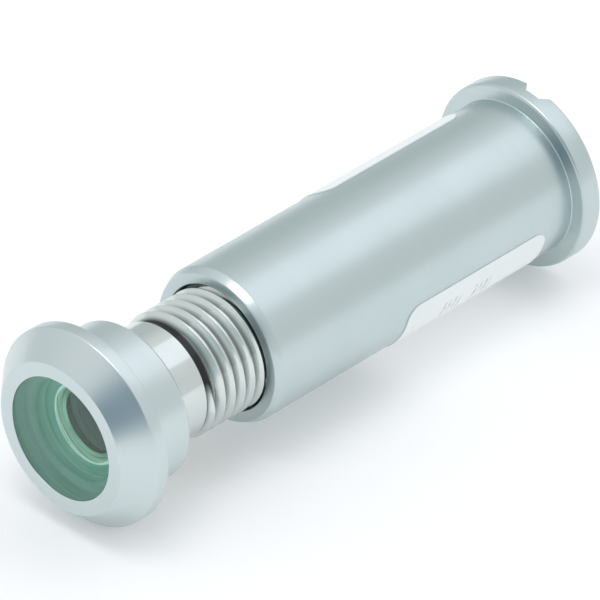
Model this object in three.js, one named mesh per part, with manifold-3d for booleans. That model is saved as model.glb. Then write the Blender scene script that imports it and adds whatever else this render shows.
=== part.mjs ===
// Adjustable door viewer: an outside half (bezel, thick front lens, threaded barrel and lens stack)
// and an inside half (flanged sleeve and eyepiece) that screws along it to suit the door.
// Millimetres, +Z up. The axis is +Y, from the outside of the door to the inside, and the origin is
// on the axis in the plane where the bezel seats on the door.

import * as THREE from "three";
import { mergeVertices } from "three/addons/utils/BufferGeometryUtils.js";
import Module from "manifold-3d";

const wasm = await Module();
wasm.setup();

// ---- Driving dimensions ----

const DOOR_SPAN = 49.8; // bezel's seat to the flange's seat, as the viewer is set

const FIT = 0.05; // radial gap round a lens or ring in its bore
const SEAT_GAP = 0.03; // axial gap between pieces that rest on each other

// Thread
const THREAD_PITCH = 1.15;
const THREAD_DEPTH = 0.61 * THREAD_PITCH;
const CREST_FLAT = THREAD_PITCH / 8;
const FLANK_TAN = Math.tan(Math.PI / 6);
const CREST_CLEARANCE = 0.15; // outside thread's crest to the sleeve thread's root
const ROOT_CLEARANCE = 0.2; // outside thread's root to the sleeve thread's crest
const FLANK_CLEARANCE = 0.09 * THREAD_PITCH;
const RIDGE_ROOTING = 0.1; // depth that a ridge goes on below the surface it stands on
const RUNOUT_TURNS = 0.125;
const FIRST_CREST = 0.325; // neck's end to the crest that would be straight up over the axis

// Lens stack in the barrel
const STACK_LENS_R = 3.8;
const SECOND_LENS_T = 2.24;
const THIRD_LENS_T = 2.2;
const SPACER_T = 1.9;
const SPACER_WALL = 0.6;
const SEAT_RING_T = 0.7;
const SEAT_RING_HOLE_R = 2.9;
const STACK_RING_T = 1.2;
const STACK_RING_HOLE_R = 2.9;

// Barrel
const BARREL_WALL = 0.95; // under the thread's root
const NECK_LENGTH = 3.75;
const NECK_STEP = 0.3; // neck's surface below the thread's crests
const NECK_CONE = 0.05; // length of the step down from the neck to the thread's root
const THREAD_LENGTH = 27.85;
const BARREL_END_CHAMFER = 0.3;
const HEAD_BORE_STEP = 0.85; // head's bore wider than the barrel's bore, on the radius
const HEAD_CHAMFER = 0.15;

// Front lens and its gasket
const FRONT_LENS_STEP = 0.65; // front lens wider than the thread, on the radius
const LENS_RECESS = 0.1;
const LENS_BODY_LENGTH = 3.9; // front face to the shoulder
const LENS_TAIL_LENGTH = 2.6;
const BOWL_R = 3.45;
const BOWL_DEPTH = 0.25;
const GASKET_T = 0.4;
const GASKET_WIDTH = 1.1;

// Bezel
const BEZEL_DEPTH = 3.4;
const BEZEL_RIM_WIDTH = 1.16;
const BEZEL_RIM_PROUD = 1.82; // rim beyond the collar
const BEZEL_RING_WIDTH = 1.3; // flat ring round the glass
const LIP_OVERLAP = 0.65; // lip over the lens's edge
const LIP_LAND = 0.2;
const COLLAR_WALL = 0.85;
const COLLAR_LENGTH = 4.4;
const COLLAR_CHAMFER = 0.15;

// Sleeve
const SLEEVE_LENGTH = 35.3; // front face to the flange's seat
const SLEEVE_WALL = 1.3;
const RELIEF_CLEARANCE = 0.2; // thread's crests to the sleeve's plain bore
const MOUTH_DEPTH = 4.1; // plain bore ahead of the thread inside the sleeve
const NUT_LENGTH = 8; // length of the thread inside the sleeve
const NOSE_DROP = 0.35; // long, shallow chamfer round the sleeve's front
const NOSE_LENGTH = 0.75;
const FLANGE_PROUD = 1.4;
const FLANGE_T = 2;
const FLANGE_ROUND = 0.3;
const EYE_WALL = 2.4;
const PEEP_HOLE_R = 3.4;
const PEEP_CHAMFER = 0.6;
const SLOT_MOUTH = 2.8;
const SLOT_FLOOR = 1.45;
const SLOT_DEPTH = 0.9;
const SLOT_TURN = THREE.MathUtils.degToRad(9); // from straight up, toward +X

// Eyepiece in the sleeve
const EYE_LENS_PASS = 0.25; // gap round the lens as it goes in through the sleeve's thread
const EYE_LENS_EDGE = 1.1;
const EYE_LENS_CROWN = 1;
const EYE_GASKET_T = 0.4;
const EYE_GASKET_WIDTH = 0.9;
const EYE_RING_T = 1.24;
const EYE_RING_WIDTH = 0.85;
const EYE_RING_EDGE = 0.3; // pocket in front of the ring
const DRIVER_SLOT_WIDTH = 0.8;
const DRIVER_SLOT_DEPTH = 0.5;

// Label round the sleeve
const LABEL_START = 15.55; // from the sleeve's front face
const LABEL_LENGTH = 16.6;
const LABEL_T = 0.1;
const LABEL_GAP = 0.02;
const LABEL_CORNER_R = 1.3;
const LABEL_FROM = THREE.MathUtils.degToRad(95.5); // about +Y, from +Z toward +X
const LABEL_TURN = THREE.MathUtils.degToRad(242);

// Facets
const ROUND = 48;
const ROUND_SMALL = 24;
const THREAD_STEPS = 16; // in a turn
const DRILL_OVERSHOOT = 0.5; // a cut goes on past the face it opens
const ARC_POINTS = 6;

// ---- Sizes that follow ----

const barrelBoreR = STACK_LENS_R + FIT;
const rootR = barrelBoreR + BARREL_WALL;
const majorR = rootR + THREAD_DEPTH;
const neckR = majorR - NECK_STEP;
const headBoreR = barrelBoreR + HEAD_BORE_STEP;

const frontLensR = majorR + FRONT_LENS_STEP;
const lensBoreR = frontLensR + FIT;
const openingR = frontLensR - LIP_OVERLAP;
const collarR = lensBoreR + COLLAR_WALL;
const rimR = collarR + BEZEL_RIM_PROUD;

const bezelFrontY = -BEZEL_DEPTH;
const lensFrontY = bezelFrontY + LENS_RECESS;
const lensShoulderY = lensFrontY + LENS_BODY_LENGTH;
const lensEndY = lensShoulderY + LENS_TAIL_LENGTH;
const gasketY = lensShoulderY + SEAT_GAP;
const headFrontY = gasketY + GASKET_T + SEAT_GAP;
const seatRingY = lensEndY + SEAT_GAP;
const headFloorY = seatRingY + SEAT_RING_T + SEAT_GAP;
const secondLensY = headFloorY;
const spacerY = secondLensY + SECOND_LENS_T + SEAT_GAP;
const thirdLensY = spacerY + SPACER_T + SEAT_GAP;
const stackRingY = thirdLensY + THIRD_LENS_T + SEAT_GAP;
const neckEndY = COLLAR_LENGTH + NECK_LENGTH;
const firstCrestY = neckEndY + FIRST_CREST;
const barrelEndY = neckEndY + THREAD_LENGTH;

const nutCrestR = rootR + ROOT_CLEARANCE;
const plainBoreR = majorR + RELIEF_CLEARANCE;
const sleeveR = plainBoreR + SLEEVE_WALL;
const flangeR = sleeveR + FLANGE_PROUD;
const eyeLensR = nutCrestR - EYE_LENS_PASS;
const eyePocketR = eyeLensR + FIT;

const sleeveFrontY = DOOR_SPAN - SLEEVE_LENGTH;
const nutStartY = sleeveFrontY + MOUTH_DEPTH;
const nutEndY = nutStartY + NUT_LENGTH;
const sleeveEndY = DOOR_SPAN + FLANGE_T;
const eyeWallY = sleeveEndY - EYE_WALL;
const eyeGasketY = eyeWallY - SEAT_GAP - EYE_GASKET_T;
const eyeLensEndY = eyeGasketY - SEAT_GAP;
const eyeRingEndY = eyeLensEndY - EYE_LENS_EDGE - SEAT_GAP;
const eyeRingY = eyeRingEndY - EYE_RING_T;
const eyePocketY = eyeRingY - EYE_RING_EDGE;

// ---- Materials ----

const material = (color, roughness, metalness) =>
  new THREE.MeshStandardMaterial({ color, roughness, metalness });

const SATIN_CHROME = material(0xb9c4c8, 0.32, 1);
const BRIGHT_NICKEL = material(0xbfc0b4, 0.15, 1);
const PALE_BRASS = material(0xd6d2bb, 0.35, 1);
const BLACK_RING = material(0x1c1e1f, 0.6, 0.4);
const GREEN_GLASS = material(0x5c9a84, 0.03, 0);
const CLEAR_GLASS = material(0xd8e6e2, 0.03, 0);
const SEAL_RUBBER = material(0xc6cec9, 0.6, 0);
const LABEL_PAPER = material(0xe8eeec, 0.55, 0);

// ---- Helpers ----

// A solid of revolution about +Y. Points are [radius, y], anticlockwise with the outside going +y.
// A ring's outline closes on itself; a lens's starts and ends on the axis.
function turned(points, segments = ROUND_SMALL) {
  const outline = points.map(([r, y]) => new THREE.Vector2(r, y));
  if (points[0][0] > 0) outline.push(outline[0].clone());
  return new THREE.LatheGeometry(outline, segments);
}

// A plain ring between two radii, or a disc where the inner one is 0.
const ring = (innerR, outerR, y, length, segments = ROUND_SMALL) =>
  turned(
    [
      [innerR, y],
      [outerR, y],
      [outerR, y + length],
      [innerR, y + length],
    ],
    segments,
  );

// Points of a spherical face from its edge at radius edgeR to the axis. The edge is at edgeY, and
// the middle is sag further along +y.
function dome(edgeR, edgeY, sag) {
  const sphereR = (edgeR ** 2 + sag ** 2) / (2 * Math.abs(sag));
  const half = 2 * Math.atan(Math.abs(sag) / edgeR);
  const middleY = edgeY + sag;
  return Array.from({ length: ARC_POINTS + 1 }, (_, i) => {
    const a = half * (1 - i / ARC_POINTS);
    return [
      i === ARC_POINTS ? 0 : sphereR * Math.sin(a),
      middleY - Math.sign(sag) * sphereR * (1 - Math.cos(a)),
    ];
  });
}

// A box of unit size, cut in steps along x, whose corners go to place(u, v, w). u runs from 0 to 1
// along it, and v and w are -0.5 or 0.5.
function bentBox(steps, place) {
  const box = new THREE.BoxGeometry(1, 1, 1, steps, 1, 1);
  const at = box.attributes.position;
  for (let i = 0; i < at.count; i++) {
    const [x, y, z] = place(at.getX(i) + 0.5, at.getY(i), at.getZ(i));
    at.setXYZ(i, x, y, z);
  }
  return box;
}

const polar = (r, turn, y) => [r * Math.sin(turn), y, r * Math.cos(turn)];

// The thread's ridge between two places on the axis, as a band that winds round +Y right-handed.
// It stands on a round surface, is grown on the crest and on each flank, and runs out at its ends.
function helicalRidge({ fromY, toY, standsOnR, crestGrowth, flankGrowth, runoutTurns }) {
  const stepAt = (y) => Math.round(((y - firstCrestY) / THREAD_PITCH) * THREAD_STEPS);
  const first = stepAt(fromY);
  const steps = stepAt(toY) - first;
  const halfWidth = (r) => CREST_FLAT / 2 + (majorR - r) * FLANK_TAN + flankGrowth;
  return bentBox(steps, (u, v, w) => {
    const step = first + Math.round(u * steps);
    const turn = (step / THREAD_STEPS) * 2 * Math.PI;
    const turnsFromEnd = Math.min(step - first, first + steps - step) / THREAD_STEPS;
    const full = runoutTurns > 0 ? Math.min(1, turnsFromEnd / runoutTurns) : 1;
    const baseR = standsOnR - RIDGE_ROOTING;
    const lowR = standsOnR - RIDGE_ROOTING / 2;
    const r = w < 0 ? baseR : lowR + (majorR + crestGrowth - lowR) * full;
    const crestY = firstCrestY + (step / THREAD_STEPS) * THREAD_PITCH;
    return polar(r, turn, crestY + 2 * v * halfWidth(r));
  });
}

function toSolid(geometry) {
  const bare = geometry.clone();
  bare.deleteAttribute("normal");
  bare.deleteAttribute("uv");
  const merged = mergeVertices(bare, 1e-4);
  return new wasm.Manifold(
    new wasm.Mesh({
      numProp: 3,
      vertProperties: merged.attributes.position.array,
      triVerts: new Uint32Array(merged.index.array),
    }),
  );
}

function toGeometry(solid) {
  const { vertProperties, triVerts } = solid.getMesh();
  const geometry = new THREE.BufferGeometry();
  geometry.setAttribute("position", new THREE.BufferAttribute(vertProperties, 3));
  geometry.setIndex(new THREE.BufferAttribute(triVerts, 1));
  geometry.computeVertexNormals();
  return geometry;
}

// A bar across the axis for cutting a slot, with a section of [across, y] points. It is turned
// about +Y from straight up, and wide enough for any piece here.
function crossBar(section, turn) {
  const length = 4 * flangeR;
  const bar = new THREE.ExtrudeGeometry(
    new THREE.Shape(section.map(([across, y]) => new THREE.Vector2(across, y))),
    { depth: length, bevelEnabled: false },
  );
  return bar.translate(0, 0, -length / 2).rotateY(turn);
}

// A flat-sided slot for a driver, sunk into a ring's face from fromY to toY.
const driverSlot = (fromY, toY) =>
  crossBar(
    [
      [-DRIVER_SLOT_WIDTH / 2, fromY],
      [DRIVER_SLOT_WIDTH / 2, fromY],
      [DRIVER_SLOT_WIDTH / 2, toY],
      [-DRIVER_SLOT_WIDTH / 2, toY],
    ],
    0,
  );

// ---- Outside half ----

function bezel() {
  const lipBackY = bezelFrontY + LIP_LAND;
  return turned(
    [
      [openingR, bezelFrontY],
      [openingR + BEZEL_RING_WIDTH, bezelFrontY],
      [rimR, -BEZEL_RIM_WIDTH],
      [rimR, 0],
      [collarR, 0],
      [collarR, COLLAR_LENGTH - COLLAR_CHAMFER],
      [collarR - COLLAR_CHAMFER, COLLAR_LENGTH],
      [lensBoreR, COLLAR_LENGTH],
      [lensBoreR, lipBackY + LIP_OVERLAP + FIT],
      [openingR, lipBackY],
    ],
    ROUND,
  );
}

// The lens's front edge is bevelled at 45 degrees to lie behind the lip.
function frontLens() {
  const bevelY = bezelFrontY + LIP_LAND;
  const faceR = openingR - FIT;
  return turned(
    [
      [0, lensFrontY],
      [faceR, lensFrontY],
      [faceR, bevelY],
      [frontLensR, bevelY + LIP_OVERLAP + FIT],
      [frontLensR, lensShoulderY],
      [headBoreR - FIT, lensShoulderY],
      [headBoreR - FIT, lensEndY],
      ...dome(BOWL_R, lensEndY, -BOWL_DEPTH),
    ],
    ROUND,
  );
}

const lensGasket = () => ring(frontLensR - GASKET_WIDTH, frontLensR, gasketY, GASKET_T, ROUND);

function threadedBarrel() {
  const blank = turned(
    [
      [0, headFrontY],
      [lensBoreR - SEAT_GAP - HEAD_CHAMFER, headFrontY],
      [lensBoreR - SEAT_GAP, headFrontY + HEAD_CHAMFER],
      [lensBoreR - SEAT_GAP, COLLAR_LENGTH],
      [neckR, COLLAR_LENGTH],
      [neckR, neckEndY],
      [rootR, neckEndY + NECK_CONE],
      [rootR, barrelEndY - BARREL_END_CHAMFER],
      [rootR - BARREL_END_CHAMFER, barrelEndY],
      [0, barrelEndY],
    ],
    THREAD_STEPS,
  );
  const ridge = helicalRidge({
    fromY: neckEndY + THREAD_PITCH / 2,
    toY: barrelEndY - THREAD_PITCH / 2,
    standsOnR: rootR,
    crestGrowth: 0,
    flankGrowth: 0,
    runoutTurns: RUNOUT_TURNS,
  });
  const bore = turned([
    [0, headFrontY - DRILL_OVERSHOOT],
    [headBoreR, headFrontY - DRILL_OVERSHOOT],
    [headBoreR, headFloorY],
    [barrelBoreR, headFloorY],
    [barrelBoreR, barrelEndY + DRILL_OVERSHOOT],
    [0, barrelEndY + DRILL_OVERSHOOT],
  ]);
  return toGeometry(toSolid(blank).add(toSolid(ridge)).subtract(toSolid(bore)));
}

const lensSeatRing = () => ring(SEAT_RING_HOLE_R, headBoreR - FIT, seatRingY, SEAT_RING_T);

// Concave on both faces, with a flat edge of the spacer's width round each.
function secondLens() {
  const hollowR = STACK_LENS_R - SPACER_WALL;
  const endY = secondLensY + SECOND_LENS_T;
  return turned([
    ...dome(hollowR, secondLensY, 0.12 * hollowR).reverse(),
    [STACK_LENS_R, secondLensY],
    [STACK_LENS_R, endY],
    ...dome(hollowR, endY, -0.28 * hollowR),
  ]);
}

const lensSpacer = () => ring(STACK_LENS_R - SPACER_WALL, STACK_LENS_R, spacerY, SPACER_T);

// Flat in front and concave behind.
function thirdLens() {
  const endY = thirdLensY + THIRD_LENS_T;
  return turned([
    [0, thirdLensY],
    [STACK_LENS_R, thirdLensY],
    [STACK_LENS_R, endY],
    ...dome(STACK_LENS_R - SPACER_WALL, endY, -0.25 * STACK_LENS_R),
  ]);
}

function lensRetainingRing() {
  const plain = ring(STACK_RING_HOLE_R, STACK_LENS_R, stackRingY, STACK_RING_T);
  const endY = stackRingY + STACK_RING_T;
  const slot = driverSlot(endY - DRIVER_SLOT_DEPTH, endY + DRIVER_SLOT_DEPTH);
  return toGeometry(toSolid(plain).subtract(toSolid(slot)));
}

// ---- Inside half ----

function sleeve() {
  const rounded = Array.from({ length: 4 }, (_, i) => {
    const a = (i / 3) * (Math.PI / 2);
    return [
      flangeR - FLANGE_ROUND * (1 - Math.sin(a)),
      DOOR_SPAN + FLANGE_ROUND * (1 - Math.cos(a)),
    ];
  });
  const blank = turned(
    [
      [PEEP_HOLE_R, sleeveFrontY],
      [sleeveR - NOSE_DROP, sleeveFrontY],
      [sleeveR, sleeveFrontY + NOSE_LENGTH],
      [sleeveR, DOOR_SPAN],
      ...rounded,
      [flangeR, sleeveEndY - FLANGE_ROUND / 2],
      [flangeR - FLANGE_ROUND / 2, sleeveEndY],
      [PEEP_HOLE_R + PEEP_CHAMFER, sleeveEndY],
      [PEEP_HOLE_R, sleeveEndY - PEEP_CHAMFER],
    ],
    ROUND,
  );
  const mouth = ring(0, plainBoreR, sleeveFrontY - DRILL_OVERSHOOT, MOUTH_DEPTH + DRILL_OVERSHOOT);
  const plainBore = turned([
    [0, nutEndY],
    [plainBoreR, nutEndY],
    [plainBoreR, eyePocketY],
    [eyePocketR, eyePocketY],
    [eyePocketR, eyeWallY],
    [0, eyeWallY],
  ]);
  const nutBore = turned(
    [
      [0, nutStartY - DRILL_OVERSHOOT],
      [nutCrestR, nutStartY - DRILL_OVERSHOOT],
      [nutCrestR, nutEndY + DRILL_OVERSHOOT],
      [0, nutEndY + DRILL_OVERSHOOT],
    ],
    THREAD_STEPS,
  );
  const groove = helicalRidge({
    fromY: nutStartY - THREAD_PITCH,
    toY: nutEndY + THREAD_PITCH,
    standsOnR: nutCrestR,
    crestGrowth: CREST_CLEARANCE,
    flankGrowth: FLANK_CLEARANCE,
    runoutTurns: 0,
  });
  const coinSlot = crossBar(
    [
      [-SLOT_FLOOR / 2, sleeveEndY - SLOT_DEPTH],
      [SLOT_FLOOR / 2, sleeveEndY - SLOT_DEPTH],
      [SLOT_MOUTH / 2, sleeveEndY],
      [SLOT_MOUTH / 2, sleeveEndY + SLOT_DEPTH],
      [-SLOT_MOUTH / 2, sleeveEndY + SLOT_DEPTH],
      [-SLOT_MOUTH / 2, sleeveEndY],
    ],
    SLOT_TURN,
  );
  const cuts = [mouth, plainBore, nutBore, groove, coinSlot];
  return toGeometry(cuts.reduce((left, cut) => left.subtract(toSolid(cut)), toSolid(blank)));
}

// A thin sheet bent round the sleeve, with rounded corners. Its columns are closer together in the
// rounded ends.
function sleeveLabel() {
  const cornerTurn = LABEL_CORNER_R / sleeveR;
  const columns = ROUND + 2 * ARC_POINTS;
  const innerR = sleeveR + LABEL_GAP;
  const middleY = sleeveFrontY + LABEL_START + LABEL_LENGTH / 2;
  return bentBox(columns, (u, v, w) => {
    const column = Math.round(u * columns);
    const fromEnd = Math.min(column, columns - column);
    const middleTurns = LABEL_TURN - 2 * cornerTurn;
    const inCorner = fromEnd < ARC_POINTS;
    const a = (Math.min(fromEnd, ARC_POINTS) / ARC_POINTS) * (Math.PI / 2);
    const inward = cornerTurn * (1 - Math.cos(a));
    const cornerDrop = LABEL_CORNER_R * (1 - Math.sin(a));
    const endTurn = column < columns / 2 ? inward : LABEL_TURN - inward;
    const along = cornerTurn + (middleTurns * (column - ARC_POINTS)) / ROUND;
    const y = middleY + 2 * v * (LABEL_LENGTH / 2 - cornerDrop);
    return polar(innerR + (w < 0 ? 0 : LABEL_T), LABEL_FROM + (inCorner ? endTurn : along), y);
  });
}

// Convex toward the barrel and flat toward the eye.
function eyepieceLens() {
  const edgeY = eyeLensEndY - EYE_LENS_EDGE;
  return turned([
    ...dome(eyeLensR - EYE_RING_WIDTH, edgeY, -EYE_LENS_CROWN).reverse(),
    [eyeLensR, edgeY],
    [eyeLensR, eyeLensEndY],
    [0, eyeLensEndY],
  ]);
}

const eyepieceGasket = () => ring(eyeLensR - EYE_GASKET_WIDTH, eyeLensR, eyeGasketY, EYE_GASKET_T);

function eyepieceRetainingRing() {
  const plain = ring(eyeLensR - EYE_RING_WIDTH, eyeLensR, eyeRingY, EYE_RING_T);
  const slot = driverSlot(eyeRingY - DRIVER_SLOT_DEPTH, eyeRingY + DRIVER_SLOT_DEPTH);
  return toGeometry(toSolid(plain).subtract(toSolid(slot)));
}

// ---- Assembly ----

function piece(name, geometry, look) {
  const mesh = new THREE.Mesh(geometry, look);
  mesh.name = name;
  return mesh;
}

const outsideHalf = new THREE.Group();
outsideHalf.add(
  piece("bezel", bezel(), SATIN_CHROME),
  piece("front_lens", frontLens(), GREEN_GLASS),
  piece("lens_gasket", lensGasket(), SEAL_RUBBER),
  piece("threaded_barrel", threadedBarrel(), BRIGHT_NICKEL),
  piece("lens_seat_ring", lensSeatRing(), PALE_BRASS),
  piece("second_lens", secondLens(), CLEAR_GLASS),
  piece("lens_spacer", lensSpacer(), BLACK_RING),
  piece("third_lens", thirdLens(), CLEAR_GLASS),
  piece("lens_retaining_ring", lensRetainingRing(), BLACK_RING),
);

const insideHalf = new THREE.Group();
insideHalf.add(
  piece("sleeve", sleeve(), SATIN_CHROME),
  piece("sleeve_label", sleeveLabel(), LABEL_PAPER),
  piece("eyepiece_lens", eyepieceLens(), CLEAR_GLASS),
  piece("eyepiece_gasket", eyepieceGasket(), SEAL_RUBBER),
  piece("eyepiece_retaining_ring", eyepieceRetainingRing(), BLACK_RING),
);

const doorViewer = new THREE.Group();
doorViewer.add(outsideHalf, insideHalf);

export default doorViewer;
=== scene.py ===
import math

import bmesh
import bpy
from mathutils import Matrix, Vector


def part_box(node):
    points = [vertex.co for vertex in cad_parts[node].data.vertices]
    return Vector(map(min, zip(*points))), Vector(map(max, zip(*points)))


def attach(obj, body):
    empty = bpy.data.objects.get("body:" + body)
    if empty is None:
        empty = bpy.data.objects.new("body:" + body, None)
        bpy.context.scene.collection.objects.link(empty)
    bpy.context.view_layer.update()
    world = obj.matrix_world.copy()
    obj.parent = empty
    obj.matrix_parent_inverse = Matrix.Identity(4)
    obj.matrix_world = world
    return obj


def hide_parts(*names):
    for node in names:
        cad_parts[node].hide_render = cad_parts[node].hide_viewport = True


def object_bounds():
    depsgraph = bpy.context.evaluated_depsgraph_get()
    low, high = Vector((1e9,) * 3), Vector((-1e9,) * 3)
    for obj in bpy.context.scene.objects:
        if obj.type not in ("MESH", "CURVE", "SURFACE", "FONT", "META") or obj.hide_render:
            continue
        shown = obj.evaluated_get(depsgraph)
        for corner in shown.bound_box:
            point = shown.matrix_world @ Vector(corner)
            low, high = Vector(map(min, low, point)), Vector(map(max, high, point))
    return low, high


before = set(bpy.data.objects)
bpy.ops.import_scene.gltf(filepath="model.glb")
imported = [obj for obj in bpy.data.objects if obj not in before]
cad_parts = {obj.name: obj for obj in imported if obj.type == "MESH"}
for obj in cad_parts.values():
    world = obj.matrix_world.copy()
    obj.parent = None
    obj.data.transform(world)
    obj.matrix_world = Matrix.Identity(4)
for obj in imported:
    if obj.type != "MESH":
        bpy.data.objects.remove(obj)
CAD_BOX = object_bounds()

# Adjustable door viewer. The axis is +Y, from the outside of the door to the inside, and +Z is up.
# Sizes are millimetres until a mesh is made, and every mesh is in metres.

MM = 0.001
TAU = 2 * math.pi

OUTSIDE = "outside_half"
INSIDE = "inside_half"
EYEPIECE = "eyepiece"


def extent(node):
    """A CAD node's start and end along the axis and its outside radius, in millimetres."""
    low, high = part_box(node)
    return low.y / MM, high.y / MM, high.x / MM


# ---- Sizes taken from the frame ----

BEZEL_FRONT, COLLAR_END, RIM_R = extent("bezel")
LENS_FRONT, LENS_END, LENS_R = extent("front_lens")
GASKET_START, GASKET_END, GASKET_R = extent("lens_gasket")
HEAD_FRONT, BARREL_END, HEAD_R = extent("threaded_barrel")
SEAT_START, SEAT_END, SEAT_R = extent("lens_seat_ring")
SECOND_START, SECOND_END, STACK_R = extent("second_lens")
SPACER_START, SPACER_END, _ = extent("lens_spacer")
THIRD_START, THIRD_END, _ = extent("third_lens")
STACK_RING_START, STACK_RING_END, _ = extent("lens_retaining_ring")
SLEEVE_FRONT, SLEEVE_END, FLANGE_R = extent("sleeve")
LABEL_START, LABEL_END, LABEL_R = extent("sleeve_label")
EYE_LENS_FRONT, EYE_LENS_END, EYE_R = extent("eyepiece_lens")
EYE_GASKET_START, EYE_GASKET_END, _ = extent("eyepiece_gasket")
EYE_RING_START, EYE_RING_END, _ = extent("eyepiece_retaining_ring")

# ---- Sizes inside those boxes, as the CAD model has them ----

FIT = 0.05  # radial gap round a lens or ring in its bore
SEAT_GAP = 0.03  # axial gap between pieces that rest on each other

# Thread
PITCH = 1.15
THREAD_DEPTH = 0.61 * PITCH
CREST_FLAT = PITCH / 8
RUN_OUT = 0.1  # how far the axis advances while the ridge rises at its start
FLANK_TAN = math.tan(math.radians(30))
CREST_CLEARANCE = 0.15  # outside thread's crest to the sleeve thread's root
ROOT_CLEARANCE = 0.2  # outside thread's root to the sleeve thread's crest
FLANK_CLEARANCE = 0.09 * PITCH
THREAD_LEAD = 0.15  # plain stretch at each end of the sleeve's thread
FRONT_LENS_STEP = 0.65  # front lens wider than the thread, on the radius
MAJOR_R = LENS_R - FRONT_LENS_STEP
ROOT_R = MAJOR_R - THREAD_DEPTH

# Barrel and lens stack
NECK_STEP = 0.3  # neck's surface below the thread's crests
NECK_R = MAJOR_R - NECK_STEP
NECK_LENGTH = 3.75
NECK_CONE = 0.05
NECK_END = COLLAR_END + NECK_LENGTH
FIRST_CREST = NECK_END + 0.325  # the crest that would be straight up over the axis
BARREL_END_CHAMFER = 0.3
BORE_R = STACK_R + FIT
HEAD_BORE_STEP = 0.85
HEAD_BORE_R = BORE_R + HEAD_BORE_STEP
HEAD_FLOOR = SEAT_END + SEAT_GAP
SEAT_HOLE_R = 2.9
SEAT_COUNTERSINK = 0.2
SPACER_HOLE_R = STACK_R - 0.6
STACK_HOLE_R = 2.9
SECOND_FRONT_SAG = 0.12 * SPACER_HOLE_R
SECOND_BACK_SAG = 0.28 * SPACER_HOLE_R
THIRD_BACK_SAG = 0.25 * STACK_R
GASKET_WIDTH = 1.1

# Bezel and front lens
LENS_BORE_R = LENS_R + FIT
LIP_OVERLAP = 0.65
OPENING_R = LENS_R - LIP_OVERLAP
LENS_FACE_R = OPENING_R - FIT
BEZEL_RING_WIDTH = 1.3
RING_R = OPENING_R + BEZEL_RING_WIDTH
RIM_START = -1.16
COLLAR_WALL = 0.85
COLLAR_R = LENS_BORE_R + COLLAR_WALL
LIP_LAND = 0.2
LIP_BACK = BEZEL_FRONT + LIP_LAND
LENS_BODY_LENGTH = 3.9
LENS_SHOULDER = LENS_FRONT + LENS_BODY_LENGTH
BOWL_R = 3.45
BOWL_DEPTH = 0.25
BOWL_CHAMFER = 0.2

# Sleeve and eyepiece
FLANGE_T = 2
SEAT_ON_DOOR = SLEEVE_END - FLANGE_T
RELIEF_CLEARANCE = 0.2  # thread's crests to the sleeve's plain bore
PLAIN_BORE_R = MAJOR_R + RELIEF_CLEARANCE
SLEEVE_WALL = 1.3
SLEEVE_R = PLAIN_BORE_R + SLEEVE_WALL
NOSE_DROP = 0.35  # long, shallow chamfer round the sleeve's front
NOSE_LENGTH = 0.75
MOUTH_DEPTH = 4.1
NUT_LENGTH = 8
NUT_START = SLEEVE_FRONT + MOUTH_DEPTH
NUT_END = NUT_START + NUT_LENGTH
NUT_CREST_R = ROOT_R + ROOT_CLEARANCE
EYE_POCKET_R = EYE_R + FIT
EYE_POCKET = EYE_RING_START - 0.3
EYE_WALL = EYE_GASKET_END + SEAT_GAP
EYE_RING_WIDTH = 0.85
EYE_RING_HOLE_R = EYE_R - EYE_RING_WIDTH
EYE_GASKET_WIDTH = 0.9
PEEP_R = 3.4
PEEP_CHAMFER = 0.6

# Slots
SLOT_MOUTH = 2.8
SLOT_FLOOR = 1.45
SLOT_DEPTH = 0.9
SLOT_TURN = math.radians(9)
DRIVER_SLOT = 0.8
DRIVER_SLOT_DEPTH = 0.5

# Label
LABEL_CORNER = 1.3
LABEL_FROM = math.radians(95.5)
LABEL_TURN = math.radians(242)
LABEL_T = 0.1

# ---- Mesh resolution ----

SEGMENTS = 192
FILLET_STEPS = 4
DOME_STEPS = 24
LABEL_STEPS = 128
LABEL_CORNER_STEPS = 8
SHARP_ANGLE = math.radians(32)


# ---- Outlines ----


def rounded(corners):
    """Outline points from corners of (radius, y, fillet). A corner with a fillet becomes an arc."""
    points = []
    for i, (r, y, fillet) in enumerate(corners):
        here = Vector((r, y))
        before = Vector(corners[i - 1][:2]) - here
        after = Vector(corners[(i + 1) % len(corners)][:2]) - here
        if fillet <= 0 or r <= 0:
            points.append((r, y))
            continue
        half = before.angle(after) / 2
        reach = min(fillet / math.tan(half), 0.49 * before.length, 0.49 * after.length)
        arc_r = reach * math.tan(half)
        bisector = (before.normalized() + after.normalized()).normalized()
        centre = here + bisector * (arc_r / math.sin(half))
        start = here + before.normalized() * reach - centre
        sweep = start.angle_signed(here + after.normalized() * reach - centre)
        for k in range(FILLET_STEPS + 1):
            a = -sweep * k / FILLET_STEPS
            turned = Matrix.Rotation(a, 2) @ start
            points.append(tuple(centre + turned))
    return points


def dome(edge_r, edge_y, sag):
    """Points of a spherical face from its edge to the axis. Its middle is sag further along +y."""
    sphere_r = (edge_r**2 + sag**2) / (2 * abs(sag))
    half = 2 * math.atan(abs(sag) / edge_r)
    points = []
    for i in range(DOME_STEPS + 1):
        a = half * (1 - i / DOME_STEPS)
        drop = sphere_r * (1 - math.cos(a))
        r = 0.0 if i == DOME_STEPS else sphere_r * math.sin(a)
        points.append((r, edge_y + sag - math.copysign(drop, sag)))
    return points


# ---- Meshes ----


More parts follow.
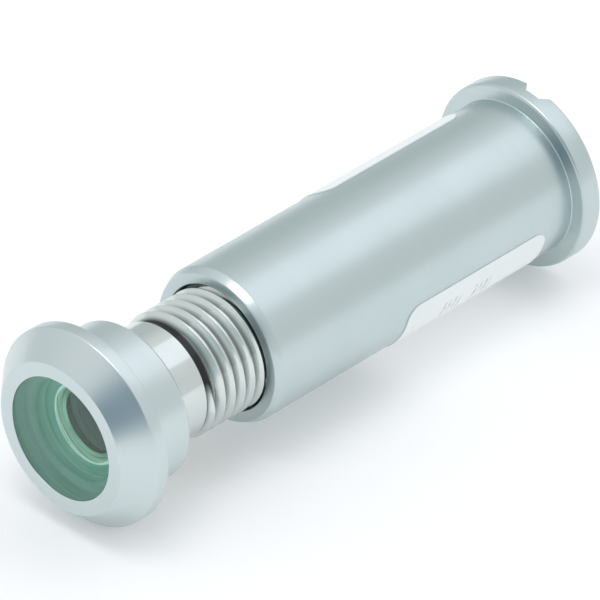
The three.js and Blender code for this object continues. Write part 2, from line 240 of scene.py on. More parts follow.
def lathe(mesh, outline, closed):
    """Adds a surface of revolution about +Y to a bmesh, from an outline in millimetres."""
    rows = []
    for r, y in outline:
        if r <= 0:
            rows.append([mesh.verts.new((0, y * MM, 0))] * SEGMENTS)
            continue
        turns = [TAU * i / SEGMENTS for i in range(SEGMENTS)]
        at = [(r * MM * math.sin(t), y * MM, r * MM * math.cos(t)) for t in turns]
        rows.append([mesh.verts.new(p) for p in at])
    pairs = list(zip(rows, rows[1:]))
    if closed:
        pairs.append((rows[-1], rows[0]))
    for low, high in pairs:
        for i in range(SEGMENTS):
            j = (i + 1) % SEGMENTS
            corners = list(dict.fromkeys([low[i], low[j], high[j], high[i]]))
            if len(corners) > 2:
                mesh.faces.new(corners)


def thread_profile(base_r, crest_r, widening):
    """One pitch of a thread as (radius, y from the middle of a crest), with its corners rounded."""
    root_fillet = 0.03
    crest_fillet = 0.035
    crest = CREST_FLAT / 2 + widening - (crest_r - MAJOR_R) * FLANK_TAN
    root = CREST_FLAT / 2 + widening + (MAJOR_R - base_r) * FLANK_TAN
    corners = [(base_r, -root, root_fillet), (crest_r, -crest, crest_fillet)]
    corners += [(crest_r, crest, crest_fillet), (base_r, root, root_fillet)]
    before = (base_r, root - PITCH, 0)
    after = (base_r, PITCH - root, 0)
    return rounded([before, *corners, after])[1:-1]


def thread(mesh, start, end, base_r, crest_r, widening=0.0):
    """Adds a helical surface between two places on the axis. It meets both ends at base_r."""
    profile = thread_profile(base_r, crest_r, widening)
    first = math.floor((start - FIRST_CREST) / PITCH) - 2
    last = math.ceil((end - FIRST_CREST) / PITCH) + 1
    half_width = profile[-1][1]

    def vertex(r, offset, wind, i):
        turn = TAU * i / SEGMENTS
        crest = FIRST_CREST + (wind + i / SEGMENTS) * PITCH
        inset = min(crest - start, end - crest) - half_width
        full = max(0.0, min(1.0, inset / RUN_OUT))
        y = min(max(crest + offset, start), end)
        r = base_r + (r - base_r) * full
        return mesh.verts.new((r * MM * math.sin(turn), y * MM, r * MM * math.cos(turn)))

    rows = []
    for wind in range(first, last + 1):
        for r, offset in profile:
            rows.append([vertex(r, offset, wind, i) for i in range(SEGMENTS)])
    for n in range(len(rows) - 1):
        for i in range(SEGMENTS):
            on, j = (n, i + 1) if i + 1 < SEGMENTS else (n + len(profile), 0)
            if on + 1 < len(rows):
                mesh.faces.new([rows[n][i], rows[on][j], rows[on + 1][j], rows[n + 1][i]])


def finish_mesh(mesh, name):
    """Closes a bmesh up, points its faces outward and turns it into an object."""
    bmesh.ops.remove_doubles(mesh, verts=mesh.verts[:], dist=1e-7)
    bmesh.ops.dissolve_degenerate(mesh, edges=mesh.edges[:], dist=1e-8)
    bmesh.ops.recalc_face_normals(mesh, faces=mesh.faces[:])
    data = bpy.data.meshes.new(name)
    mesh.to_mesh(data)
    mesh.free()
    piece = bpy.data.objects.new(name, data)
    bpy.context.scene.collection.objects.link(piece)
    return piece


def turned_piece(name, outline):
    """A solid of revolution. The outline closes on itself, or starts and ends on the axis."""
    mesh = bmesh.new()
    lathe(mesh, outline, closed=outline[0][0] > 0)
    return finish_mesh(mesh, name)


def ring_piece(name, hole_r, outer_r, start, end, fillet):
    corners = [(hole_r, start), (outer_r, start), (outer_r, end), (hole_r, end)]
    return turned_piece(name, rounded([(r, y, fillet) for r, y in corners]))


def cross_bar(name, section, turn):
    """A bar right across the axis, from (across, y) points, turned about +Y from straight up."""
    mesh = bmesh.new()
    reach = 2 * FLANGE_R
    ends = []
    for side in (-reach, reach):
        ends.append([mesh.verts.new((x * MM, y * MM, side * MM)) for x, y in section])
    mesh.faces.new(ends[0])
    mesh.faces.new(ends[1])
    for i in range(len(section)):
        j = (i + 1) % len(section)
        mesh.faces.new([ends[0][i], ends[0][j], ends[1][j], ends[1][i]])
    mesh.transform(Matrix.Rotation(turn, 4, "Y"))
    return finish_mesh(mesh, name)


def apply_modifiers(piece):
    """Bakes a piece's modifiers into its mesh."""
    shown = piece.evaluated_get(bpy.context.evaluated_depsgraph_get())
    data = bpy.data.meshes.new_from_object(shown)
    piece.modifiers.clear()
    piece.data = data


def cut(piece, *tools):
    """Takes each tool away from the piece, and deletes the tools."""
    for tool in tools:
        change = piece.modifiers.new("cut", "BOOLEAN")
        change.operation = "DIFFERENCE"
        change.solver = "EXACT"
        change.object = tool
        apply_modifiers(piece)
        bpy.data.objects.remove(tool)


def smooth(piece):
    """Smooth shading that keeps edges sharp, with flat faces flat beside their fillets."""
    piece.data.shade_smooth()
    piece.data.set_sharp_from_angle(angle=SHARP_ANGLE)
    weights = piece.modifiers.new("face weights", "WEIGHTED_NORMAL")
    weights.keep_sharp = True
    weights.weight = 100
    apply_modifiers(piece)


def fit_out(piece, node, body, material):
    """Finishes a piece that stands for a CAD node."""
    smooth(piece)
    piece.data.materials.clear()
    piece.data.materials.append(material)
    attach(piece, body)
    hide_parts(node)


# ---- Pieces of the outside half ----


def make_bezel():
    return turned_piece(
        "bezel_body",
        rounded(
            [
                (OPENING_R, BEZEL_FRONT, 0.05),
                (RING_R, BEZEL_FRONT, 0.1),
                (RIM_R, RIM_START, 0.3),
                (RIM_R, 0, 0.06),
                (COLLAR_R, 0, 0.08),
                (COLLAR_R, COLLAR_END, 0.28),
                (LENS_BORE_R, COLLAR_END, 0.04),
                (LENS_BORE_R, LIP_BACK + LENS_BORE_R - OPENING_R, 0),
                (OPENING_R, LIP_BACK, 0),
            ]
        ),
    )


def make_front_lens():
    tail_r = HEAD_BORE_R - FIT
    outline = [
        (0, LENS_FRONT),
        (LENS_FACE_R, LENS_FRONT),
        (LENS_FACE_R, LIP_BACK),
        (LENS_R, LIP_BACK + LENS_R - LENS_FACE_R),
        (LENS_R, LENS_SHOULDER),
        (tail_r, LENS_SHOULDER),
        (tail_r, LENS_END),
        (BOWL_R + BOWL_CHAMFER, LENS_END),
    ]
    edge = LENS_END - BOWL_CHAMFER
    return turned_piece("front_lens_glass", outline + dome(BOWL_R, edge, -BOWL_DEPTH))


def make_barrel():
    """Head, neck and thread outside, and the bore with the head's wider pocket inside."""
    mesh = bmesh.new()
    thread_end = BARREL_END - BARREL_END_CHAMFER
    outside = rounded(
        [
            (HEAD_BORE_R, HEAD_FRONT, 0),
            (HEAD_R, HEAD_FRONT, 0.15),
            (HEAD_R, COLLAR_END, 0.1),
            (NECK_R, COLLAR_END, 0.05),
            (NECK_R, NECK_END, 0.08),
            (ROOT_R, NECK_END + NECK_CONE, 0),
        ]
    )
    inside = [
        (ROOT_R, thread_end),
        (ROOT_R - BARREL_END_CHAMFER, BARREL_END),
        (BORE_R, BARREL_END),
        (BORE_R, HEAD_FLOOR),
        (HEAD_BORE_R, HEAD_FLOOR),
        (HEAD_BORE_R, HEAD_FRONT),
    ]
    lathe(mesh, outside, closed=False)
    thread(mesh, NECK_END + NECK_CONE, thread_end, ROOT_R, MAJOR_R)
    lathe(mesh, inside, closed=False)
    return finish_mesh(mesh, "barrel_body")


def make_second_lens():
    front = list(reversed(dome(SPACER_HOLE_R, SECOND_START, SECOND_FRONT_SAG)))
    edge = [(STACK_R, SECOND_START), (STACK_R, SECOND_END)]
    back = dome(SPACER_HOLE_R, SECOND_END, -SECOND_BACK_SAG)
    return turned_piece("second_lens_glass", front + edge + back)


def make_third_lens():
    front = [(0, THIRD_START), (STACK_R, THIRD_START), (STACK_R, THIRD_END)]
    back = dome(SPACER_HOLE_R, THIRD_END, -THIRD_BACK_SAG)
    return turned_piece("third_lens_glass", front + back)


def make_seat_ring():
    """The ring's hole is countersunk toward the front lens."""
    return turned_piece(
        "seat_ring_body",
        rounded(
            [
                (SEAT_HOLE_R + SEAT_COUNTERSINK, SEAT_START, 0.03),
                (SEAT_R, SEAT_START, 0.05),
                (SEAT_R, SEAT_END, 0.05),
                (SEAT_HOLE_R, SEAT_END, 0.03),
                (SEAT_HOLE_R, SEAT_START + SEAT_COUNTERSINK, 0.03),
            ]
        ),
    )


def driver_slot(face):
    """Cutter for a screwdriver slot across a ring's face."""
    half = DRIVER_SLOT / 2
    low, high = face - DRIVER_SLOT_DEPTH, face + DRIVER_SLOT_DEPTH
    section = [(-half, low), (half, low), (half, high), (-half, high)]
    return cross_bar("driver_slot_cutter", section, 0)


def make_gasket():
    hole_r = GASKET_R - GASKET_WIDTH
    return ring_piece("gasket_ring", hole_r, GASKET_R, GASKET_START, GASKET_END, 0.12)


def make_spacer():
    return ring_piece("spacer_ring", SPACER_HOLE_R, STACK_R, SPACER_START, SPACER_END, 0.08)


def make_stack_ring():
    place = (STACK_RING_START, STACK_RING_END)
    ring = ring_piece("stack_ring_body", STACK_HOLE_R, STACK_R, *place, 0.06)
    cut(ring, driver_slot(STACK_RING_END))
    return ring


# ---- Pieces of the inside half ----


def make_sleeve():
    """Turned outside and bore, the nut's thread inside, and the coin slot across the back."""
    mesh = bmesh.new()
    outside = rounded(
        [
            (NUT_CREST_R, NUT_START + THREAD_LEAD, 0),
            (NUT_CREST_R, NUT_START, 0.08),
            (PLAIN_BORE_R, NUT_START, 0.05),
            (PLAIN_BORE_R, SLEEVE_FRONT, 0.06),
            (SLEEVE_R - NOSE_DROP, SLEEVE_FRONT, 0.12),
            (SLEEVE_R, SLEEVE_FRONT + NOSE_LENGTH, 0.3),
            (SLEEVE_R, SEAT_ON_DOOR, 0.1),
            (FLANGE_R, SEAT_ON_DOOR, 0.3),
            (FLANGE_R, SLEEVE_END, 0.2),
            (PEEP_R + PEEP_CHAMFER, SLEEVE_END, 0.1),
            (PEEP_R, SLEEVE_END - PEEP_CHAMFER, 0.1),
            (PEEP_R, EYE_WALL, 0),
            (EYE_POCKET_R, EYE_WALL, 0),
            (EYE_POCKET_R, EYE_POCKET, 0.05),
            (PLAIN_BORE_R, EYE_POCKET, 0.05),
            (PLAIN_BORE_R, NUT_END, 0),
            (NUT_CREST_R, NUT_END, 0.08),
            (NUT_CREST_R, NUT_END - THREAD_LEAD, 0),
        ]
    )
    lathe(mesh, outside, closed=False)
    nut = (NUT_START + THREAD_LEAD, NUT_END - THREAD_LEAD)
    thread(mesh, *nut, NUT_CREST_R, MAJOR_R + CREST_CLEARANCE, FLANK_CLEARANCE)
    body = finish_mesh(mesh, "sleeve_body")
    slot = cross_bar(
        "coin_slot_cutter",
        [
            (-SLOT_FLOOR / 2, SLEEVE_END - SLOT_DEPTH),
            (SLOT_FLOOR / 2, SLEEVE_END - SLOT_DEPTH),
            (SLOT_MOUTH / 2, SLEEVE_END),
            (SLOT_MOUTH / 2, SLEEVE_END + SLOT_DEPTH),
            (-SLOT_MOUTH / 2, SLEEVE_END + SLOT_DEPTH),
            (-SLOT_MOUTH / 2, SLEEVE_END),
        ],
        SLOT_TURN,
    )
    cut(body, slot)
    return body


def make_label():
    """A thin sheet round the sleeve with rounded corners."""
    mesh = bmesh.new()
    corner_turn = LABEL_CORNER / LABEL_R
    middle_y = (LABEL_START + LABEL_END) / 2
    half_length = (LABEL_END - LABEL_START) / 2
    corner_steps = [
        (corner_turn * (1 - math.cos(a)), LABEL_CORNER * (1 - math.sin(a)))
        for a in (math.pi / 2 * k / LABEL_CORNER_STEPS for k in range(LABEL_CORNER_STEPS))
    ]
    columns = list(corner_steps)
    for k in range(LABEL_STEPS + 1):
        columns.append((corner_turn + (LABEL_TURN - 2 * corner_turn) * k / LABEL_STEPS, 0.0))
    columns += [(LABEL_TURN - turn, drop) for turn, drop in reversed(corner_steps)]
    levels = [-1, -0.5, 0, 0.5, 1]
    sheets = []
    for r in (LABEL_R - LABEL_T, LABEL_R):
        sheet = []
        for turn, drop in columns:
            t = LABEL_FROM + turn
            ys = [middle_y + level * (half_length - drop) for level in levels]
            at = [(r * MM * math.sin(t), y * MM, r * MM * math.cos(t)) for y in ys]
            sheet.append([mesh.verts.new(p) for p in at])
        sheets.append(sheet)
    inner, outer = sheets
    last = len(columns) - 1
    for k in range(last):
        for n in range(len(levels) - 1):
            for sheet in sheets:
                mesh.faces.new([sheet[k][n], sheet[k + 1][n], sheet[k + 1][n + 1], sheet[k][n + 1]])
        for n in (0, len(levels) - 1):
            mesh.faces.new([inner[k][n], inner[k + 1][n], outer[k + 1][n], outer[k][n]])
    for k in (0, last):
        for n in range(len(levels) - 1):
            mesh.faces.new([inner[k][n], inner[k][n + 1], outer[k][n + 1], outer[k][n]])
    return finish_mesh(mesh, "label_sheet")


def make_eyepiece_lens():
    edge_start = EYE_RING_END + SEAT_GAP
    crown = list(reversed(dome(EYE_RING_HOLE_R, edge_start, EYE_LENS_FRONT - edge_start)))
    return turned_piece(
        "eyepiece_lens_glass",
        crown + [(EYE_R, edge_start), (EYE_R, EYE_LENS_END), (0, EYE_LENS_END)],
    )


def make_eyepiece_gasket():
    hole_r = EYE_R - EYE_GASKET_WIDTH
    return ring_piece("eye_gasket_ring", hole_r, EYE_R, EYE_GASKET_START, EYE_GASKET_END, 0.12)


def make_eyepiece_ring():
    place = (EYE_RING_START, EYE_RING_END)
    ring = ring_piece("eyepiece_ring_body", EYE_RING_HOLE_R, EYE_R, *place, 0.06)
    cut(ring, driver_slot(EYE_RING_START))
    return ring


# ---- Materials ----


class Look:
    """One material's node tree, with short calls for the nodes it needs."""

    def __init__(self, name):
        self.material = bpy.data.materials.new(name)
        self.material.use_nodes = True
        self.tree = self.material.node_tree
        self.shader = next(n for n in self.tree.nodes if n.type == "BSDF_PRINCIPLED")
        self.output = next(n for n in self.tree.nodes if n.type == "OUTPUT_MATERIAL")

    def node(self, kind, inputs=(), **settings):
        """A new node, with a value or a link for each named or numbered input."""
        made = self.tree.nodes.new(kind)
        for key, value in settings.items():
            setattr(made, key, value)
        for key, value in dict(inputs).items():
            self.put(made.inputs[key], value)
        return made

    def put(self, socket, value):
        if isinstance(value, bpy.types.NodeSocket):
            self.tree.links.new(value, socket)
        else:
            socket.default_value = value

    def math(self, operation, a, b=0.0):
        return self.node("ShaderNodeMath", {0: a, 1: b}, operation=operation).outputs[0]

    def vector(self, x, y, z):
        return self.node("ShaderNodeCombineXYZ", {0: x, 1: y, 2: z}).outputs[0]

    def noise(self, vector, scale=1.0, detail=2.0, roughness=0.5):
        inputs = {"Vector": vector, "Scale": scale, "Detail": detail, "Roughness": roughness}
        return self.node("ShaderNodeTexNoise", inputs).outputs[0]

    def spread(self, value, low, high, to_low, to_high, smooth_step=False):
        """A value's range from low to high, mapped onto another range and held at its ends."""
        kind = "SMOOTHSTEP" if smooth_step else "LINEAR"
        inputs = {0: value, 1: low, 2: high, 3: to_low, 4: to_high}
        return self.node("ShaderNodeMapRange", inputs, interpolation_type=kind).outputs[0]

    def mix(self, factor, a, b):
        made = self.node("ShaderNodeMix", data_type="RGBA")
        sockets = {s.identifier: s for s in made.inputs}
        self.put(sockets["Factor_Float"], factor)
        self.put(sockets["A_Color"], a)
        self.put(sockets["B_Color"], b)
        return next(s for s in made.outputs if s.identifier == "Result_Color")

    def around(self):
        """Distance from the axis, place along it and turn about it, in millimetres and radians."""
        place = self.node("ShaderNodeTexCoord").outputs["Object"]
        x, y, z = self.node("ShaderNodeSeparateXYZ", {0: place}).outputs
        x, y, z = (self.math("DIVIDE", s, MM) for s in (x, y, z))
        squares = self.math("ADD", self.math("MULTIPLY", x, x), self.math("MULTIPLY", z, z))
        return self.math("SQRT", squares), y, self.math("ARCTAN2", x, z)

    def in_millimetres(self, scale=1.0):
        place = self.node("ShaderNodeTexCoord").outputs["Object"]
        inputs = {0: place, 1: (scale / MM,) * 3}
        return self.node("ShaderNodeVectorMath", inputs, operation="MULTIPLY").outputs[0]

    def bump(self, height, depth_mm, strength=1.0):
        inputs = {"Strength": strength, "Distance": depth_mm * MM, "Height": height}
        self.put(self.shader.inputs["Normal"], self.node("ShaderNodeBump", inputs).outputs[0])

    def set(self, **inputs):
        for key, value in inputs.items():
            self.put(self.shader.inputs[key.replace("_", " ")], value)
        return self.material


def rgb(r, g, b):
    return (r, g, b, 1.0)


def turned_lines(look, lines_per_mm):
    """Fine tool lines that run round the axis, on faces and on cylinders alike."""
    r, y, turn = look.around()
    along = look.vector(
        look.math("MULTIPLY", r, lines_per_mm),
        look.math("MULTIPLY", y, lines_per_mm),
        look.math("MULTIPLY", look.math("SINE", turn), 0.6),
    )
    return look.noise(along, 1.0, 3.0, 0.6)


def satin_chrome():
    """Satin plating with fine turned lines, paler on the bezel and rougher in the sleeve's bore."""
    look = Look("satin chrome")
    lines = turned_lines(look, 3.5)
    clouds = look.noise(look.in_millimetres(0.22), 1.0, 3.0)
    specks = look.noise(look.in_millimetres(9.0), 1.0, 1.0)
    tone = look.math("ADD", look.math("MULTIPLY", lines, 0.35), look.math("MULTIPLY", clouds, 0.65))
    r, y, _ = look.around()
    color = look.mix(tone, rgb(0.525, 0.61, 0.61), rgb(0.585, 0.66, 0.665))
    between_halves = (COLLAR_END + 1, COLLAR_END + 2)
    on_bezel = look.spread(y, *between_halves, 0.28, 0.0)
    color = look.mix(on_bezel, color, rgb(0.74, 0.80, 0.80))
    in_bore = look.math(
        "MULTIPLY",
        look.spread(r, PLAIN_BORE_R + 0.02, PLAIN_BORE_R + 0.1, 1.0, 0.0),
        look.spread(y, *between_halves, 0.0, 1.0),
    )
    rough = look.spread(tone, 0.3, 0.7, 0.34, 0.28)
    rough = look.math("MAXIMUM", rough, look.math("MULTIPLY", in_bore, 0.6))
    relief = look.math("ADD", lines, look.math("MULTIPLY", specks, 0.4))
    look.bump(relief, 0.003, 0.35)
    return look.set(Base_Color=color, Metallic=1.0, Roughness=rough, Anisotropic=0.25)


def bright_nickel():
    """Bright plating, with painted shade darkening the thread's roots and the undercut where it
    starts.
    """
    look = Look("bright nickel")
    r, y, _ = look.around()
    lines = turned_lines(look, 14.0)
    clouds = look.noise(look.in_millimetres(0.5), 1.0, 3.0)
    # Painted shade: the thread's roots are darkened where shade would fall in them.
    root_shade = look.spread(r, ROOT_R + 0.1, ROOT_R + 0.5, 1.0, 0.0, smooth_step=True)
    plain = look.mix(clouds, rgb(0.645, 0.70, 0.675), rgb(0.745, 0.79, 0.775))
    # Painted shade: the undercut where the thread starts is darkened almost to black, standing in
    # for its shade.
    undercut_shade = look.math(
        "MULTIPLY",
        look.spread(r, ROOT_R + 0.05, ROOT_R + 0.3, 1.0, 0.0),
        look.spread(y, NECK_END + 0.9, NECK_END + 1.3, 1.0, 0.0),
    )
    color = look.mix(look.math("MULTIPLY", root_shade, 0.5), plain, rgb(0.13, 0.145, 0.135))
    color = look.mix(look.math("MULTIPLY", undercut_shade, 0.96), color, rgb(0.025, 0.027, 0.025))
    rough = look.spread(look.math("ADD", lines, clouds), 0.6, 1.4, 0.17, 0.10)
    look.bump(lines, 0.003, 0.4)
    return look.set(Base_Color=color, Metallic=1.0, Roughness=rough)


def turned_metal(name, dark, light, rough_low, rough_high):
    """Metal with fine tool lines that change its tone and its gloss."""
    look = Look(name)
    lines = turned_lines(look, 12.0)
    color = look.mix(lines, rgb(*dark), rgb(*light))
    look.bump(lines, 0.006, 0.5)
    rough = look.spread(lines, 0.3, 0.7, rough_high, rough_low)
    return look.set(Base_Color=color, Metallic=1.0, Roughness=rough)


def glass(name, tint, absorbed, density, rough):
    """Polished glass with a colour through its depth and a trace of haze on its faces."""
    look = Look(name)
    haze = look.noise(look.in_millimetres(0.8), 1.0, 4.0)
    color = look.mix(haze, rgb(*tint), rgb(1.0, 1.0, 1.0))
    rough_map = look.spread(haze, 0.3, 0.7, rough, rough * 2.5)
    volume = look.node("ShaderNodeVolumeAbsorption", {"Color": rgb(*absorbed), "Density": density})
    look.tree.links.new(volume.outputs[0], look.output.inputs["Volume"])
    look.set(Base_Color=color, Roughness=rough_map, IOR=1.52, Transmission_Weight=1.0)
    return look, color, rough_map


def green_glass():
    """The front lens: its flat face and its bowl are polished, every other face is ground, and its
    ground chamfer has a painted glow.
    """
    look, color, polish = glass("green glass", (0.93, 0.99, 0.97), (0.33, 0.967, 0.80), 95.0, 0.01)
    r, y, _ = look.around()
    outside_bowl = look.spread(r, BOWL_R - 0.02, BOWL_R, 0.0, 1.0)
    behind_face = look.spread(y, LENS_FRONT + 0.01, LENS_FRONT + 0.04, 0.0, 1.0)
    ground = look.math("MULTIPLY", outside_bowl, behind_face)
    grit = look.spread(turned_lines(look, 1.0), 0.38, 0.62, 0.0, 1.0)
    pale = look.mix(grit, rgb(0.60, 0.80, 0.72), rgb(1.0, 1.0, 1.0))
    # Painted light: the ground chamfer glows faintly of itself, standing in for light it would
    # catch.
    chamfer_r = BOWL_R + BOWL_CHAMFER
    inside_chamfer = look.spread(r, chamfer_r, chamfer_r + 0.03, 1.0, 0.0)
    chamfer_glow = look.math("MULTIPLY", ground, inside_chamfer)
    return look.set(
        Emission_Color=rgb(0.95, 1.0, 0.98),
        Emission_Strength=look.math("MULTIPLY", chamfer_glow, 0.4),
        Base_Color=look.mix(ground, color, pale),
        Roughness=look.math("MAXIMUM", polish, look.math("MULTIPLY", ground, 0.5)),
        Transmission_Weight=look.spread(ground, 0.0, 1.0, 1.0, 0.08),
    )


def clear_glass(name, edge_r):
    """Clear lens glass with its edge painted black, as lens makers do against stray light."""
    look, color, polish = glass(name, (0.95, 0.99, 0.97), (0.80, 0.92, 0.88), 40.0, 0.006)
    r, _, _ = look.around()
    painted = look.spread(r, edge_r - 0.04, edge_r - 0.02, 0.0, 1.0)
    return look.set(
        Base_Color=look.mix(painted, color, rgb(0.012, 0.013, 0.013)),
        Roughness=look.math("MAXIMUM", polish, look.math("MULTIPLY", painted, 0.6)),
        Transmission_Weight=look.spread(painted, 0.0, 1.0, 1.0, 0.0),
    )


def seal_rubber():
    """Milky silicone rubber."""
    look = Look("seal rubber")
    grain = look.noise(look.in_millimetres(6.0), 1.0, 4.0)
    color = look.mix(grain, rgb(0.52, 0.57, 0.54), rgb(0.66, 0.70, 0.67))
    look.bump(grain, 0.02, 0.5)
    return look.set(
        Base_Color=color,
        Roughness=look.spread(grain, 0.3, 0.7, 0.6, 0.45),
        Subsurface_Weight=0.3,
        Subsurface_Scale=0.4 * MM,
    )


BAR_GROUP_STARTS = (34.7, 38.3)  # along the axis, in millimetres
BAR_GROUP_LENGTH = 2.1
BAR_PITCH = 0.62
BARS_FROM = math.radians(109)
BARS_TO = math.radians(124)


def label_paper():
    """White paper with two plain groups of short grey bars."""
    look = Look("label paper")
    fibres = look.noise(look.in_millimetres(5.0), 1.0, 4.0)
    clouds = look.noise(look.in_millimetres(0.3), 1.0, 2.0)
    color = look.mix(clouds, rgb(0.85, 0.89, 0.88), rgb(0.90, 0.93, 0.925))
    _, y, turn = look.around()
    worn = look.spread(look.noise(look.in_millimetres(2.5), 1.0, 3.0), 0.35, 0.6, 0.1, 0.6)
    bars = look.math("SINE", look.math("MULTIPLY", y, TAU / BAR_PITCH))
    for start in BAR_GROUP_STARTS:
        inked = look.math("MULTIPLY", look.spread(bars, -0.3, 0.3, 0.0, 1.0), worn)
        for value, low, high, soft in (
            (y, start, start + BAR_GROUP_LENGTH, 0.1),
            (turn, BARS_FROM, BARS_TO, 0.02),
        ):
            inked = look.math("MULTIPLY", inked, look.spread(value, low, low + soft, 0.0, 1.0))
            inked = look.math("MULTIPLY", inked, look.spread(value, high, high + soft, 1.0, 0.0))
        color = look.mix(inked, color, rgb(0.38, 0.42, 0.40))
    look.bump(fibres, 0.006, 0.4)
    return look.set(Base_Color=color, Roughness=look.spread(fibres, 0.3, 0.7, 0.5, 0.62))


def pale_floor():
    look = Look("pale floor")
    grain = look.noise(look.in_millimetres(0.05), 1.0, 2.0)
    color = look.mix(grain, rgb(0.83, 0.83, 0.83), rgb(0.86, 0.86, 0.86))
    return look.set(
        Base_Color=color,
        Roughness=0.9,
        Emission_Color=rgb(1.0, 1.0, 1.0),
        Emission_Strength=0.2,
    )


# ---- Camera, light and floor ----

CAMERA_AZIMUTH = math.radians(43.96)
CAMERA_ELEVATION = math.radians(34.27)
CAMERA_LENS = 491.0
SENSOR_WIDTH = 36.0
CAMERA_DISTANCE = 658.3  # from the origin, along the line of sight
CAMERA_RIGHT = 16.88  # of the origin, as the camera sees it
CAMERA_UP = 9.78


def direction(azimuth, elevation):
    """Unit vector from the object toward a place round it. Azimuth 0 is -Y, and 90 is +X."""
    return Vector(
        (
            math.sin(azimuth) * math.cos(elevation),
            -math.cos(azimuth) * math.cos(elevation),
            math.sin(elevation),
        )
    )


def make_camera():
    back = direction(CAMERA_AZIMUTH, CAMERA_ELEVATION)
    right = Vector((math.cos(CAMERA_AZIMUTH), math.sin(CAMERA_AZIMUTH), 0))
    up = back.cross(right)
    place = (right * CAMERA_RIGHT + up * CAMERA_UP + back * CAMERA_DISTANCE) * MM
    data = bpy.data.cameras.new("camera")
    data.sensor_width = SENSOR_WIDTH
    data.lens = CAMERA_LENS
    data.clip_start = 0.01
    data.clip_end = 20.0
    camera = bpy.data.objects.new("camera", data)
    turn = Matrix((right, up, back)).transposed().to_4x4()
    camera.matrix_world = Matrix.Translation(place) @ turn
    bpy.context.scene.collection.objects.link(camera)
    bpy.context.scene.camera = camera


def make_softbox(name, azimuth, elevation, width, height, distance, radiance, color):
    """A rectangular light that faces the object, with its own brightness per unit of area."""
    centre = Vector((0, 0.5 * (CAD_BOX[0][1] + CAD_BOX[1][1]), 0))
    toward = direction(math.radians(azimuth), math.radians(elevation))
    data = bpy.data.lights.new(name, "AREA")
    data.shape = "RECTANGLE"
    data.size = width
    data.size_y = height
    data.energy = radiance * math.pi * width * height
    data.color = color
    light = bpy.data.objects.new(name, data)
    light.matrix_world = Matrix.Translation(centre + toward * distance) @ (
        toward.to_track_quat("Z", "Y").to_matrix().to_4x4()
    )
    bpy.context.scene.collection.objects.link(light)


def make_lights():
    make_softbox("back softbox", 165, 52, 0.42, 0.42, 0.6, 0.36, (0.86, 0.9, 1.0))
    make_softbox("top softbox", 0, 78, 0.3, 0.2, 0.6, 3.0, (0.98, 0.98, 1.0))


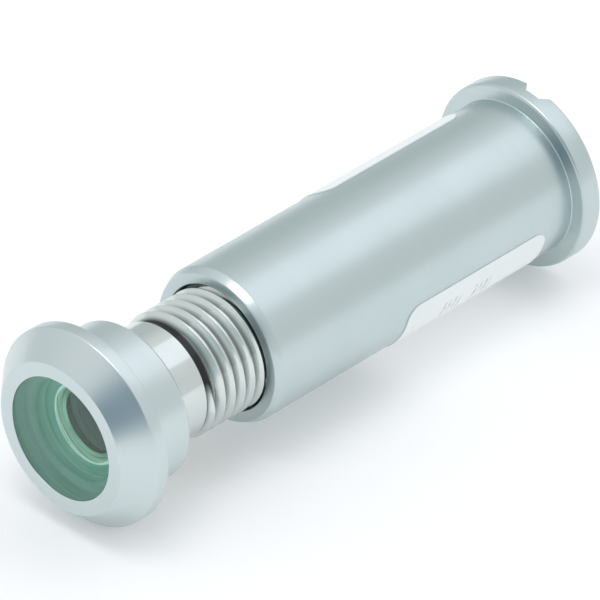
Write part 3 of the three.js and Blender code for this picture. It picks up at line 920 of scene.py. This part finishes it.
def make_world():
    """A pale room: bright overhead, greyer round the sides, with a dark side behind the viewer."""
    world = bpy.data.worlds.new("studio")
    bpy.context.scene.world = world
    world.use_nodes = True
    tree = world.node_tree
    background = next(n for n in tree.nodes if n.type == "BACKGROUND")
    place = tree.nodes.new("ShaderNodeTexCoord")

    def lobe(azimuth, elevation, near, far):
        """1 within near degrees of a direction, falling to 0 at far degrees."""
        dot = tree.nodes.new("ShaderNodeVectorMath")
        dot.operation = "DOT_PRODUCT"
        tree.links.new(place.outputs["Generated"], dot.inputs[0])
        dot.inputs[1].default_value = direction(math.radians(azimuth), math.radians(elevation))
        fade = tree.nodes.new("ShaderNodeMapRange")
        fade.interpolation_type = "SMOOTHSTEP"
        tree.links.new(dot.outputs["Value"], fade.inputs[0])
        fade.inputs[1].default_value = math.cos(math.radians(far))
        fade.inputs[2].default_value = math.cos(math.radians(near))
        return fade.outputs[0]

    def blend(color, factor, other):
        mix = tree.nodes.new("ShaderNodeMix")
        mix.data_type = "RGBA"
        sockets = {s.identifier: s for s in mix.inputs}
        tree.links.new(factor, sockets["Factor_Float"])
        if isinstance(color, bpy.types.NodeSocket):
            tree.links.new(color, sockets["A_Color"])
        else:
            sockets["A_Color"].default_value = color
        sockets["B_Color"].default_value = other
        return next(s for s in mix.outputs if s.identifier == "Result_Color")

    color = rgb(0.80, 0.83, 0.835)
    color = blend(color, lobe(0, 90, 10, 75), rgb(0.93, 0.94, 0.97))
    color = blend(color, lobe(-128, 8, 5, 45), rgb(0.62, 0.67, 0.67))
    color = blend(color, lobe(37, 26, 8, 33), rgb(0.19, 0.29, 0.38))
    tree.links.new(color, background.inputs["Color"])


def make_floor():
    """A floor at the height of the object's lowest point."""
    level = CAD_BOX[0][2]
    half = 1.5
    mesh = bmesh.new()
    corners = [(-half, -half), (half, -half), (half, half), (-half, half)]
    mesh.faces.new([mesh.verts.new((x, y, level)) for x, y in corners])
    floor = finish_mesh(mesh, "floor")
    floor.data.materials.append(pale_floor())


# ---- Assembly ----


def main():
    make_camera()
    make_world()
    make_lights()
    make_floor()

    chrome = satin_chrome()
    nickel = bright_nickel()
    brass = turned_metal("turned brass", (0.58, 0.58, 0.52), (0.72, 0.72, 0.64), 0.3, 0.42)
    black = turned_metal("black anodised", (0.015, 0.017, 0.018), (0.05, 0.054, 0.056), 0.4, 0.6)
    green = green_glass()
    clear = clear_glass("clear glass", STACK_R)
    eye_glass = clear_glass("eyepiece glass", EYE_R)
    rubber = seal_rubber()
    paper = label_paper()

    gasket = make_gasket()
    spacer = make_spacer()
    eye_gasket = make_eyepiece_gasket()

    fit_out(make_bezel(), "bezel", OUTSIDE, chrome)
    fit_out(make_front_lens(), "front_lens", OUTSIDE, green)
    fit_out(gasket, "lens_gasket", OUTSIDE, rubber)
    fit_out(make_barrel(), "threaded_barrel", OUTSIDE, nickel)
    fit_out(make_seat_ring(), "lens_seat_ring", OUTSIDE, brass)
    fit_out(make_second_lens(), "second_lens", OUTSIDE, clear)
    fit_out(spacer, "lens_spacer", OUTSIDE, black)
    fit_out(make_third_lens(), "third_lens", OUTSIDE, clear)
    fit_out(make_stack_ring(), "lens_retaining_ring", OUTSIDE, black)
    fit_out(make_sleeve(), "sleeve", INSIDE, chrome)
    fit_out(make_label(), "sleeve_label", INSIDE, paper)
    fit_out(make_eyepiece_lens(), "eyepiece_lens", EYEPIECE, eye_glass)
    fit_out(eye_gasket, "eyepiece_gasket", EYEPIECE, rubber)
    fit_out(make_eyepiece_ring(), "eyepiece_retaining_ring", INSIDE, black)

    bpy.context.scene.view_settings.view_transform = "Standard"


main()
